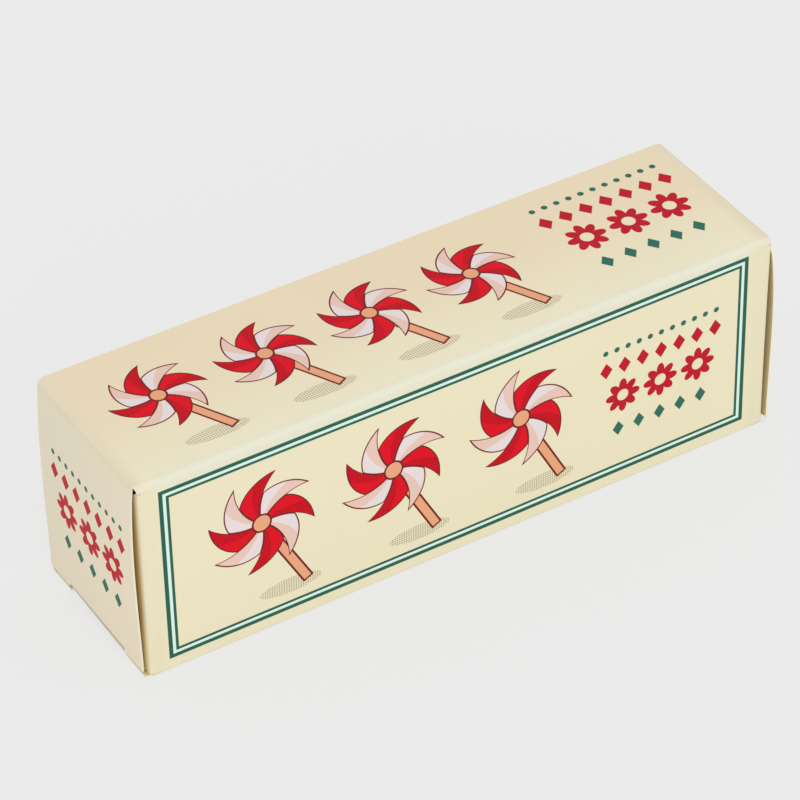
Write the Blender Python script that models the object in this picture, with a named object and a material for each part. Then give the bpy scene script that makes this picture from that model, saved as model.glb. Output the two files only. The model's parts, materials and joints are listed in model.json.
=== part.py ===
"""Floating ball game in its folding carton, built the way the real one is made, in metres with +Z up.

A straight-tuck-end carton of printed board holds the toy: a wooden blow pipe with a hoop over its air
nozzle, and two light foam balls. The carton is sized from what it has to hold, as a packer would do it.
The carton's length runs along X, its front faces -Y and it stands on Z = 0.
"""

import math

import bmesh
import bpy
from mathutils import Matrix, Vector

MM = 0.001

# Board and carton
BOARD = 0.5 * MM
CARTON_HEIGHT = 60.0 * MM
FOLD_RADIUS = 1.0 * MM
SCORE_GAP = 0.15 * MM
GLUE_FLAP_WIDTH = 12.0 * MM
GLUE_FLAP_TAPER = 5.0 * MM
GLUE_GAP = 0.3 * MM
THUMB_NOTCH_WIDTH = 26.0 * MM
THUMB_NOTCH_DEPTH = 7.0 * MM

# End closures: a panel hinged on the top, its tuck flap and two dust flaps on the side walls
CLOSURE_FOOT = 1.0 * MM
DUST_STEP = 0.9 * MM
DUST_LENGTH = 17.0 * MM
DUST_FOOT = 4.0 * MM
DUST_HEAD = 2.5 * MM
DUST_SHOULDER = math.radians(45.0)
DUST_FOOT_SLOPE = math.radians(6.0)
DUST_CORNER = 2.5 * MM
TUCK_LENGTH = 12.0 * MM
TUCK_SIDE_INSET = 1.0 * MM
TUCK_CORNER = 7.0 * MM
TUCK_RISE = math.radians(8.0)

# Blow pipe: its own frame has the bowl's axis along Z and the stem along +X from the origin
STEM_DIAMETER = 10.0 * MM
STEM_REACH = 136.0 * MM
AIR_BORE = 3.6 * MM
STEM_TIP_ROUND = 2.6 * MM
STEM_DROP = 8.8 * MM
BOWL_DIAMETER = 27.0 * MM
BOWL_DEPTH = 16.5 * MM
BOWL_ROUND = 6.5 * MM
FLANGE_DIAMETER = 44.0 * MM
FLANGE_THICKNESS = 7.6 * MM
FLANGE_ROUND = 3.0 * MM
DISH_DIAMETER = 24.0 * MM
DISH_DEPTH = 1.6 * MM
NOZZLE_DIAMETER = 9.0 * MM
NOZZLE_STAND = 5.0 * MM
NOZZLE_ROUND = 2.0 * MM
NOZZLE_FOOT = 2.4 * MM
RING_DIAMETER = 44.0 * MM
RING_HOLE = 32.0 * MM
RING_THICKNESS = 7.0 * MM
RING_ROUND = 2.4 * MM
SLAT_COUNT = 3
SLAT_FIRST_ANGLE = math.radians(75.0)
SLAT_WIDTH = 6.6 * MM
SLAT_THICKNESS = 3.4 * MM
SLAT_GAP = 8.3 * MM
SLAT_TENON = 3.5 * MM
SLAT_EDGE = 0.5 * MM
JOINT_FIT = 0.2 * MM

# Balls and packing
BALL_DIAMETER = 30.0 * MM
SEAT_GAP = 0.3 * MM
TUCK_CLEARANCE = 1.0 * MM
TIP_ROOM = 13.0 * MM

ROUND_STEPS = 4
LATHE_STEPS = 56
STEM_STEPS = 32
BALL_RINGS = 18
BALL_STEPS = 36

# Worked out from the sizes above
STEM_RADIUS = STEM_DIAMETER / 2
BALL_RADIUS = BALL_DIAMETER / 2
HEAD_RADIUS = max(FLANGE_DIAMETER, RING_DIAMETER) / 2
FLANGE_FACE = STEM_DROP + FLANGE_THICKNESS
RING_UNDER = FLANGE_FACE + SLAT_GAP
RING_FACE = RING_UNDER + RING_THICKNESS
SLAT_CIRCLE = (RING_DIAMETER + RING_HOLE) / 4
PIPE_Z = BOARD + SEAT_GAP + RING_FACE
BALL_Z = BOARD + SEAT_GAP + BALL_RADIUS
BALL_RISE = PIPE_Z - BALL_Z
BALL_TOUCH = BALL_RADIUS + STEM_RADIUS + SEAT_GAP
BALL_OFFSET = math.sqrt(max(BALL_TOUCH ** 2 - BALL_RISE ** 2, 0.0))
CARTON_WIDTH = HEAD_RADIUS + max(BALL_OFFSET + BALL_RADIUS, HEAD_RADIUS) + 2 * (SEAT_GAP + BOARD)
CARTON_LENGTH = TUCK_LENGTH + TUCK_CLEARANCE + HEAD_RADIUS + STEM_REACH + TIP_ROOM
HALF_LENGTH = CARTON_LENGTH / 2
HALF_WIDTH = CARTON_WIDTH / 2
SIDE_END = HALF_LENGTH - DUST_STEP
GLUE_FACE = CARTON_HEIGHT - BOARD - GLUE_GAP
CLOSURE_FRONT = -HALF_WIDTH + FOLD_RADIUS + SCORE_GAP
CLOSURE_BACK = -CLOSURE_FRONT
PIPE_X = -HALF_LENGTH + TUCK_LENGTH + TUCK_CLEARANCE + HEAD_RADIUS
PIPE_Y = HALF_WIDTH - BOARD - SEAT_GAP - HEAD_RADIUS
BALL_Y = PIPE_Y - BALL_OFFSET
BALL_PUSH = FLANGE_DIAMETER / 2 + BALL_RADIUS + SEAT_GAP
FIRST_BALL_X = PIPE_X + math.sqrt(BALL_PUSH ** 2 - BALL_OFFSET ** 2)
BALL_PITCH = BALL_DIAMETER + SEAT_GAP
SOCKET_END = NOZZLE_DIAMETER / 2 + JOINT_FIT


def clear_scene():
    for thing in list(bpy.data.objects):
        bpy.data.objects.remove(thing, do_unlink=True)


def make_material(name, colour, roughness):
    material = bpy.data.materials.new(name)
    material.use_nodes = True
    shader = material.node_tree.nodes["Principled BSDF"]
    shader.inputs["Base Color"].default_value = (*colour, 1.0)
    shader.inputs["Roughness"].default_value = roughness
    shader.inputs["Metallic"].default_value = 0.0
    return material


def add_object(name, bm, material, location=(0, 0, 0), parent=None):
    """Closes the mesh's seams, turns its faces outward and links it as one named object."""
    bmesh.ops.remove_doubles(bm, verts=bm.verts, dist=0.00001)
    bmesh.ops.recalc_face_normals(bm, faces=bm.faces)
    mesh = bpy.data.meshes.new(name)
    bm.to_mesh(mesh)
    bm.free()
    thing = bpy.data.objects.new(name, mesh)
    thing.location = location
    thing.parent = parent
    if material:
        thing.data.materials.append(material)
    bpy.context.collection.objects.link(thing)
    return thing


def add_empty(name, location, rotation):
    empty = bpy.data.objects.new(name, None)
    empty.location = location
    empty.rotation_euler = rotation
    empty.empty_display_size = 0.01
    bpy.context.collection.objects.link(empty)
    return empty


def cut(target, name, bm):
    """Takes a cutter's volume out of a target and keeps the cutter as a hidden outline."""
    cutter = add_object(name, bm, None, target.location, target.parent)
    cutter.hide_render = True
    cutter.display_type = "WIRE"
    modifier = target.modifiers.new(name, "BOOLEAN")
    modifier.operation = "DIFFERENCE"
    modifier.solver = "EXACT"
    modifier.object = cutter


def arc(centre, radius, start, end, steps=ROUND_STEPS):
    """Points on an arc in a plane, both ends included, with angles in radians."""
    angles = [start + (end - start) * i / steps for i in range(steps + 1)]
    return [(centre[0] + radius * math.cos(a), centre[1] + radius * math.sin(a)) for a in angles]


def bridge(bm, loops, closed=True):
    """Joins rows of points with quads, and each row's end to its start if the rows are closed."""
    rows = [[bm.verts.new(point) for point in loop] for loop in loops]
    for low, high in zip(rows, rows[1:]):
        count = len(low)
        for i in range(count if closed else count - 1):
            j = (i + 1) % count
            bm.faces.new((low[i], low[j], high[j], high[i]))
    return rows


def plate(outer, inner):
    """A sheet between two matching outlines, so that an edge can be mitred for its fold."""
    bm = bmesh.new()
    rows = bridge(bm, (outer, inner))
    bm.faces.new(rows[0])
    bm.faces.new(rows[1])
    return bm


def folded_strip(outer, inner, outer_half, inner_half, tip_taper=0.0):
    """A sheet along X, folded in Y and Z; the last edge of its section may be tapered at both ends."""
    bm = bmesh.new()
    loops = []
    for side in (-1, 1):
        ring = [(side * outer_half, y, z) for y, z in outer[:-1]]
        ring += [(side * (outer_half - tip_taper), *outer[-1])]
        ring += [(side * (inner_half - tip_taper), *inner[-1])]
        ring += [(side * inner_half, y, z) for y, z in reversed(inner[:-1])]
        loops.append(ring)
    rows = bridge(bm, loops)
    count = len(outer)
    for row in rows:
        back = list(reversed(row[count:]))
        for i in range(count - 1):
            bm.faces.new((row[i], row[i + 1], back[i + 1], back[i]))
    return bm


def lathe(profile, steps):
    """Turns a profile of (radius, height) points about Z into a closed body."""
    bm = bmesh.new()
    loops = []
    for i in range(steps):
        turn = math.tau * i / steps
        loops.append([(r * math.cos(turn), r * math.sin(turn), z) for r, z in profile])
    rows = [[bm.verts.new(point) for point in loop] for loop in loops]
    count = len(profile)
    closed = all(r > 0 for r, _ in profile)
    for i in range(steps):
        low, high = rows[i], rows[(i + 1) % steps]
        for k in range(count if closed else count - 1):
            n = (k + 1) % count
            bm.faces.new((low[k], low[n], high[n], high[k]))
    bmesh.ops.dissolve_degenerate(bm, edges=bm.edges, dist=0.0000001)
    return bm


def add_cylinder(bm, radius, start, end, axis, steps=LATHE_STEPS):
    """Adds a plain cylinder between two stations of the X or Z axis."""
    matrix = Matrix.Translation(Vector((0, 0, (start + end) / 2)))
    if axis == "X":
        matrix = Matrix.Rotation(math.pi / 2, 4, "Y") @ matrix
    bmesh.ops.create_cone(bm, cap_ends=True, segments=steps, radius1=radius, radius2=radius,
                          depth=abs(end - start), matrix=matrix)


def add_box(bm, low, high, matrix=Matrix()):
    size = Vector(high) - Vector(low)
    middle = (Vector(high) + Vector(low)) / 2
    place = matrix @ Matrix.Translation(middle) @ Matrix.Diagonal((*size, 1.0))
    return bmesh.ops.create_cube(bm, size=1.0, matrix=place)["verts"]


def fold_corner_cutter():
    """Four blocks that end the long folds where the side walls end, short of the closures."""
    bm = bmesh.new()
    reach = HALF_LENGTH + BOARD
    for side_x in (-1, 1):
        low_x, high_x = sorted((side_x * SIDE_END, side_x * reach))
        for low_y, high_y in ((-HALF_WIDTH - BOARD, CLOSURE_FRONT), (CLOSURE_BACK, HALF_WIDTH + BOARD)):
            add_box(bm, (low_x, low_y, -BOARD), (high_x, high_y, CARTON_HEIGHT + BOARD))
    return bm


def build_top_panel(board):
    """The top: its front edge folds down to the front wall, its cut back edge lies over the glue flap."""
    top, r = CARTON_HEIGHT, FOLD_RADIUS
    quarter = math.pi / 2
    outer = arc((-HALF_WIDTH + r, top - r), r, 2 * quarter, quarter) + [(HALF_WIDTH, top)]
    inner = arc((-HALF_WIDTH + r, top - r), r - BOARD, 2 * quarter, quarter) + [(HALF_WIDTH, top - BOARD)]
    bm = folded_strip(outer, inner, HALF_LENGTH - SCORE_GAP, HALF_LENGTH - SCORE_GAP - BOARD)
    panel = add_object("top_panel", bm, board)
    cut(panel, "top_corner_cutter", fold_corner_cutter())


def build_bottom_panel(board):
    """The bottom: both long edges fold up, and each end has a thumb notch over the tuck flap."""
    r = FOLD_RADIUS
    quarter = math.pi / 2
    outer = arc((-HALF_WIDTH + r, r), r, 2 * quarter, 3 * quarter)
    outer += arc((HALF_WIDTH - r, r), r, 3 * quarter, 4 * quarter)
    inner = arc((-HALF_WIDTH + r, r), r - BOARD, 2 * quarter, 3 * quarter)
    inner += arc((HALF_WIDTH - r, r), r - BOARD, 3 * quarter, 4 * quarter)
    panel = add_object("bottom_panel", folded_strip(outer, inner, HALF_LENGTH, HALF_LENGTH), board)
    bm = fold_corner_cutter()
    for side in (-1, 1):
        place = Matrix.Translation((side * HALF_LENGTH, 0, 0))
        place @= Matrix.Diagonal((THUMB_NOTCH_DEPTH, THUMB_NOTCH_WIDTH / 2, 1.0, 1.0))
        bmesh.ops.create_cone(bm, cap_ends=True, segments=LATHE_STEPS, radius1=1.0, radius2=1.0,
                              depth=8 * BOARD, matrix=place)
    cut(panel, "bottom_notch_cutter", bm)


def build_side_walls(board):
    """The front wall up to the top's fold, and the back wall up to the glue flap's fold."""
    low = FOLD_RADIUS + SCORE_GAP
    for name, side, fold in (("front_panel", -1, CARTON_HEIGHT), ("back_panel", 1, GLUE_FACE)):
        high = fold - FOLD_RADIUS - SCORE_GAP
        loops = []
        for depth in (0.0, BOARD):
            end = SIDE_END - SCORE_GAP - depth
            y = side * (HALF_WIDTH - depth)
            loops.append([(-end, y, low), (end, y, low), (end, y, high), (-end, y, high)])
        add_object(name, plate(*loops), board)


def build_glue_flap(board):
    """The seam: a flap that folds in from the back wall and is glued under the top panel."""
    r = FOLD_RADIUS
    quarter = math.pi / 2
    tip = HALF_WIDTH - GLUE_FLAP_WIDTH
    outer = arc((HALF_WIDTH - r, GLUE_FACE - r), r, 0, quarter) + [(tip, GLUE_FACE)]
    inner = arc((HALF_WIDTH - r, GLUE_FACE - r), r - BOARD, 0, quarter) + [(tip, GLUE_FACE - BOARD)]
    half = SIDE_END - SCORE_GAP - BOARD
    add_object("glue_flap", folded_strip(outer, inner, half, half, GLUE_FLAP_TAPER), board)


def build_closure(side, word, board):
    """An end panel on the top's end crease; its origin lies on that crease."""
    loops = []
    drop = CLOSURE_FOOT - CARTON_HEIGHT + SCORE_GAP
    for depth in (0.0, BOARD):
        high = -SCORE_GAP - depth
        low = drop + depth * 1.2
        x = -side * depth
        loops.append([(x, CLOSURE_FRONT, low), (x, CLOSURE_BACK, low),
                      (x, CLOSURE_BACK, high), (x, CLOSURE_FRONT, high)])
    add_object(word + "_end_panel", plate(*loops), board, (side * HALF_LENGTH, 0, CARTON_HEIGHT))


def build_tuck_flap(side, word, board):
    """The tuck flap on the end panel's lower crease, rising a little so that it never digs in."""
    front = CLOSURE_FRONT + TUCK_SIDE_INSET
    back = CLOSURE_BACK - TUCK_SIDE_INSET
    quarter = math.pi / 2
    inset = TUCK_LENGTH - TUCK_CORNER
    rounded = arc((inset, back - TUCK_CORNER), TUCK_CORNER, quarter, 0)
    rounded += arc((inset, front + TUCK_CORNER), TUCK_CORNER, 0, -quarter)
    loops = []
    for depth in (0.0, BOARD):
        root = SCORE_GAP + depth * 1.2
        outline = [(root, back)] + rounded + [(root, front)]
        loops.append([(-side * e, y, depth) for e, y in outline])
    flap = add_object(word + "_tuck_flap", plate(*loops), board, (side * HALF_LENGTH, 0, CLOSURE_FOOT))
    flap.rotation_euler.y = side * TUCK_RISE


def build_dust_flap(side, word, wall, wall_word, board):
    """A dust flap on the end crease of a side wall, with a shoulder that clears the swinging panel."""
    low = DUST_FOOT
    high = CARTON_HEIGHT - DUST_HEAD
    tip_low = low + DUST_LENGTH * math.tan(DUST_FOOT_SLOPE)
    tip_high = high - DUST_LENGTH * math.tan(DUST_SHOULDER)
    quarter = math.pi / 2
    middle = DUST_LENGTH - DUST_CORNER
    rounded = arc((middle, tip_low + DUST_CORNER), DUST_CORNER, -quarter + DUST_FOOT_SLOPE, 0)
    rounded += arc((middle, tip_high - DUST_CORNER * 0.4), DUST_CORNER, 0, quarter - DUST_SHOULDER)
    loops = []
    for depth in (0.0, BOARD):
        root = SCORE_GAP + depth
        outline = [(root, low)] + rounded + [(root, high)]
        loops.append([(-side * depth, -wall * e, z - CARTON_HEIGHT / 2) for e, z in outline])
    add_object(word + "_" + wall_word + "_dust_flap", plate(*loops), board,
               (side * SIDE_END, wall * HALF_WIDTH, CARTON_HEIGHT / 2))


def slat_places():
    """Turns that put a slat's middle on the slat circle, one for each slat."""
    step = math.tau / SLAT_COUNT
    return [Matrix.Rotation(SLAT_FIRST_ANGLE + step * i, 4, "Z") for i in range(SLAT_COUNT)]


def mortise_cutter(low, high):
    """Slots for the slats' ends between two heights."""
    bm = bmesh.new()
    half_r = SLAT_THICKNESS / 2 + JOINT_FIT
    half_w = SLAT_WIDTH / 2 + JOINT_FIT
    for turn in slat_places():
        add_box(bm, (SLAT_CIRCLE - half_r, -half_w, low), (SLAT_CIRCLE + half_r, half_w, high), turn)
    return bm


def build_bowl(paint, pipe):
    """The turned bowl with its wide flange, drilled for the stem, the nozzle and the slats."""
    quarter = math.pi / 2
    radius = BOWL_DIAMETER / 2
    rim = FLANGE_DIAMETER / 2
    bottom = STEM_DROP - BOWL_DEPTH
    dish = DISH_DIAMETER / 2
    profile = [(0.0, bottom)]
    profile += arc((radius - BOWL_ROUND, bottom + BOWL_ROUND), BOWL_ROUND, -quarter, 0, 2 * ROUND_STEPS)
    profile += [(radius, STEM_DROP)]
    profile += arc((rim - FLANGE_ROUND, STEM_DROP + FLANGE_ROUND), FLANGE_ROUND, -quarter, 0)
    profile += arc((rim - FLANGE_ROUND, FLANGE_FACE - FLANGE_ROUND), FLANGE_ROUND, 0, quarter)
    profile += [(dish, FLANGE_FACE), (dish - DISH_DEPTH, FLANGE_FACE - DISH_DEPTH),
                (0.0, FLANGE_FACE - DISH_DEPTH)]
    bowl = add_object("pipe_bowl", lathe(profile, LATHE_STEPS), paint, parent=pipe)
    bm = bmesh.new()
    add_cylinder(bm, STEM_RADIUS + JOINT_FIT, 0.0, rim, "X", STEM_STEPS)
    cut(bowl, "stem_socket_cutter", bm)
    bm = bmesh.new()
    add_cylinder(bm, NOZZLE_DIAMETER / 2 + JOINT_FIT, 0.0, FLANGE_FACE + FLANGE_THICKNESS, "Z", STEM_STEPS)
    cut(bowl, "nozzle_socket_cutter", bm)
    depth = SLAT_TENON + JOINT_FIT
    cut(bowl, "flange_mortise_cutter", mortise_cutter(FLANGE_FACE - depth, FLANGE_FACE + SLAT_GAP))


def build_stem(wood, pipe):
    """The drilled stem: blown at its rounded tip, glued into the bowl's side at the other end."""
    bore = AIR_BORE / 2
    tip = STEM_REACH - STEM_TIP_ROUND
    profile = [(bore, SOCKET_END), (STEM_RADIUS, SOCKET_END)]
    profile += arc((STEM_RADIUS - STEM_TIP_ROUND, tip), STEM_TIP_ROUND, 0, math.pi / 2)
    profile += [(bore, STEM_REACH)]
    bm = lathe(profile, STEM_STEPS)
    bm.transform(Matrix.Rotation(math.pi / 2, 4, "Y"))
    add_object("pipe_stem", bm, wood, parent=pipe)


def build_nozzle(wood, pipe):
    """The short air nozzle in the middle of the flange, over the stem's inner end."""
    bore = AIR_BORE / 2
    radius = NOZZLE_DIAMETER / 2
    top = FLANGE_FACE + NOZZLE_STAND
    profile = [(bore, NOZZLE_FOOT), (radius, NOZZLE_FOOT)]
    profile += arc((radius - NOZZLE_ROUND, top - NOZZLE_ROUND), NOZZLE_ROUND, 0, math.pi / 2)
    profile += [(bore, top)]
    add_object("air_nozzle", lathe(profile, STEM_STEPS), wood, parent=pipe)


def build_hoop(paint, wood, pipe):
    """The hoop that keeps the ball over the nozzle, standing on slats let into hoop and flange."""
    quarter = math.pi / 2
    inner = RING_HOLE / 2 + RING_ROUND
    outer = RING_DIAMETER / 2 - RING_ROUND
    low = RING_UNDER + RING_ROUND
    high = RING_FACE - RING_ROUND
    profile = arc((outer, low), RING_ROUND, -quarter, 0) + arc((outer, high), RING_ROUND, 0, quarter)
    profile += arc((inner, high), RING_ROUND, quarter, 2 * quarter)
    profile += arc((inner, low), RING_ROUND, 2 * quarter, 3 * quarter)
    ring = add_object("hoop_ring", lathe(profile, LATHE_STEPS), paint, parent=pipe)
    cut(ring, "hoop_mortise_cutter", mortise_cutter(FLANGE_FACE, RING_UNDER + SLAT_TENON + JOINT_FIT))
    for i, turn in enumerate(slat_places()):
        bm = bmesh.new()
        add_box(bm, (SLAT_CIRCLE - SLAT_THICKNESS / 2, -SLAT_WIDTH / 2, FLANGE_FACE - SLAT_TENON),
                (SLAT_CIRCLE + SLAT_THICKNESS / 2, SLAT_WIDTH / 2, RING_UNDER + SLAT_TENON), turn)
        bmesh.ops.bevel(bm, geom=list(bm.edges), offset=SLAT_EDGE, segments=2, affect="EDGES", profile=0.5)
        add_object(f"hoop_slat_{i + 1}", bm, wood, parent=pipe)


def build_balls(foam):
    """Two foam balls on the carton's floor, which carry the stem; the flange is right behind them."""
    for i in range(2):
        bm = bmesh.new()
        bmesh.ops.create_uvsphere(bm, u_segments=BALL_STEPS, v_segments=BALL_RINGS, radius=BALL_RADIUS)
        add_object(f"ball_{i + 1}", bm, foam, (FIRST_BALL_X + BALL_PITCH * i, BALL_Y, BALL_Z))


def main():
    clear_scene()
    board = make_material("printed_board", (0.80, 0.74, 0.55), 0.5)
    paint = make_material("red_paint", (0.70, 0.02, 0.03), 0.3)
    wood = make_material("bare_wood", (0.78, 0.50, 0.28), 0.55)
    foam = make_material("white_foam", (0.90, 0.88, 0.88), 0.7)
    build_top_panel(board)
    build_bottom_panel(board)
    build_side_walls(board)
    build_glue_flap(board)
    for side, word in ((-1, "left"), (1, "right")):
        build_closure(side, word, board)
        build_tuck_flap(side, word, board)
        for wall, wall_word in ((-1, "front"), (1, "back")):
            build_dust_flap(side, word, wall, wall_word, board)
    pipe = add_empty("blow_pipe", (PIPE_X, PIPE_Y, PIPE_Z), (math.pi, 0, 0))
    build_bowl(paint, pipe)
    build_stem(wood, pipe)
    build_nozzle(wood, pipe)
    build_hoop(paint, wood, pipe)
    build_balls(foam)


main()
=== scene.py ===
"""Dresses the boxed floating ball game: its printed folding carton, wooden blow pipe and foam balls.

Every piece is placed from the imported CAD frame, in metres with +Z up. The carton's print is drawn by
shader expressions on a map in millimetres, measured from the middle of each printed panel.
"""

import json
import math

import bmesh
import bpy
import numpy as np
from bpy.props import FloatProperty, FloatVectorProperty, IntProperty, PointerProperty
from mathutils import Matrix, Vector


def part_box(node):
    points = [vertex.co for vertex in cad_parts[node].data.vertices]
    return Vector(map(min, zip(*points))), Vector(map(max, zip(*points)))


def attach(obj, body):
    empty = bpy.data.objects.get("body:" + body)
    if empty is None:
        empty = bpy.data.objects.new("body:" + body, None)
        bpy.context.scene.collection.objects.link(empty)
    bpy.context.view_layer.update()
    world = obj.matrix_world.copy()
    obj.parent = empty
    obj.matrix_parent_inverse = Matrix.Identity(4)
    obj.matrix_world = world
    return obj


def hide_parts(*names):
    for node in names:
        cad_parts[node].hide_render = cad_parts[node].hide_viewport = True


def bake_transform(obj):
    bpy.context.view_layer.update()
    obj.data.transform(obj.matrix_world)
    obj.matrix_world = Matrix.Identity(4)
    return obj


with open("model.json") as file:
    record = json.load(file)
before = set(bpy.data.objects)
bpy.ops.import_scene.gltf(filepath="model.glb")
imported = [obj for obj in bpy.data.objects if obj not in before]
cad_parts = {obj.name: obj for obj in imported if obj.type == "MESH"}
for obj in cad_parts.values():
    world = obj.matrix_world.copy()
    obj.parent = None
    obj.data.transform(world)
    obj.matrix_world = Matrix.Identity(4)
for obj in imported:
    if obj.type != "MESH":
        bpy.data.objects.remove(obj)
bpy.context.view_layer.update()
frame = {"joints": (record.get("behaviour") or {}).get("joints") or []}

bl_info = {
    "name": "Boxed floating ball game",
    "version": (1, 0, 0),
    "blender": (4, 5, 0),
    "location": "3D View > Sidebar > Ball Game",
    "description": "Builds the finish of a boxed blow-pipe ball game over its CAD frame",
    "category": "Object",
}

MM = 0.001
PRINT_MAP = "print"
FOLD_ATTRIBUTE = "fold"

# Places that the CAD frame gives
JOINT_PLACE = {joint["name"]: Vector(joint["pos_m"]) for joint in frame["joints"] if "pos_m" in joint}
HALF_LENGTH, HALF_WIDTH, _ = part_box("bottom_panel")[1]
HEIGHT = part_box("top_panel")[1].z
GLUE_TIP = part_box("glue_flap")[0].y
GLUE_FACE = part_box("glue_flap")[1].z
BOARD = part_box("front_panel")[1].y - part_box("front_panel")[0].y
SIDE_END = JOINT_PLACE["right_front_dust_hinge"].x
TUCK_FOOT = JOINT_PLACE["left_tuck_crease"].z
DUST_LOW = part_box("left_front_dust_flap")[0].z
DUST_HEADROOM = 0.7 * MM
DUST_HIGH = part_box("left_front_dust_flap")[1].z + DUST_HEADROOM
PIPE_AXIS = sum(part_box("hoop_ring"), Vector()) / 2
STEM_AXIS = sum(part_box("pipe_stem"), Vector()) / 2
HOOP_HOLE = 16.0 * MM

# Camera fitted to the carton's corners in the photograph
CAMERA_PLACE = (-0.40999541, -0.67947221, 0.66033989)
CAMERA_TURN = (51.56984836, 1.03546579, -31.70668861)


def srgb(red, green, blue):
    """Turns an 8-bit display colour into the linear colour that shaders take."""
    shares = (red / 255, green / 255, blue / 255)
    return tuple(s / 12.92 if s <= 0.04045 else ((s + 0.055) / 1.055) ** 2.4 for s in shares)


def length(name, description, millimetres):
    """A length, given in millimetres and kept in metres."""
    return FloatProperty(name=name, description=description, default=millimetres * MM, unit="LENGTH",
                         precision=5)


def pair(name, description, left, right):
    """A length for each end of the carton, given in millimetres."""
    return FloatVectorProperty(name=name, description=description, default=(left * MM, right * MM), size=2,
                               unit="LENGTH", precision=5)


def tint(name, description, red, green, blue):
    """A colour, given as a display shows it."""
    return FloatVectorProperty(name=name, description=description, default=srgb(red, green, blue),
                               subtype="COLOR", size=3, min=0.0, max=1.0)


def number(name, description, default, unit="NONE"):
    return FloatProperty(name=name, description=description, default=default, unit=unit)


class CartonSettings(bpy.types.PropertyGroup):
    """Sizes of the folded board."""
    fold_radius: length("Fold radius", "Outside radius of the back and bottom folds", 0.8)
    front_radius: length("Front fold radius", "Outside radius of the fold between front and top", 1.7)
    end_radius: length("End crease radius", "Outside radius of the creases above the end panels", 1.1)
    tuck_radius: length("Tuck crease radius", "Outside radius of the tuck flaps' creases", 0.35)
    panel_bow: length("Panel bow", "How far the long panels swell at their middles", 0.3)
    skew: length("Skew", "How far the carton's back is pushed to the right of its front", 0.4)
    top_overhang: length("Top overhang", "How far the top's cut edge lies over the back fold", 0.3)
    closure_head: pair("End head", "How far each end panel's crease stands out", 0.0, 0.85)
    closure_lean: pair("End lean", "How much further each end panel's foot stands out", 0.75, 1.45)
    closure_bow: pair("End bow", "How far each end panel swells at its middle", 0.4, 0.92)
    closure_twist: pair("End twist", "How much further each end panel's back edge stands out", 0.3, 0.0)
    closure_front: pair("End front", "Slack between each end panel and the front wall", 1.75, 1.9)
    closure_flare: pair("End flare", "How far each end panel widens below its crease", -0.2, 1.7)
    closure_square: pair("End square", "How far below its crease each end panel starts to widen", 1.2, 2.0)
    closure_hollow: pair("End hollow", "How far each end panel's front edge is hollowed", 0.6, 0.0)
    dust_radius: pair("Dust crease radius", "Outside radius of each end's dust creases", 3.1, 0.9)
    dust_pinch: pair("Dust crease pinch", "How much tighter these creases are at foot and head", 1.9, 0.0)
    dust_push: pair("Dust crease push", "How far each end's dust creases spring out", 0.5, 1.2)
    dust_fan: pair("Dust crease fan", "How much further these creases spring out at their heads", 0.0, 0.7)
    dust_follow: pair("Dust follow", "How much further the flaps follow the end panel out", 0.65, 0.0)
    bottom_reach: pair("Bottom reach", "How far the bottom's tabs reach out", 0.6, 0.0)
    notch_width: length("Thumb notch width", "Width of the notch at each end of the bottom", 29.0)
    notch_depth: length("Thumb notch depth", "Depth of the notch at each end of the bottom", 7.0)


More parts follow.
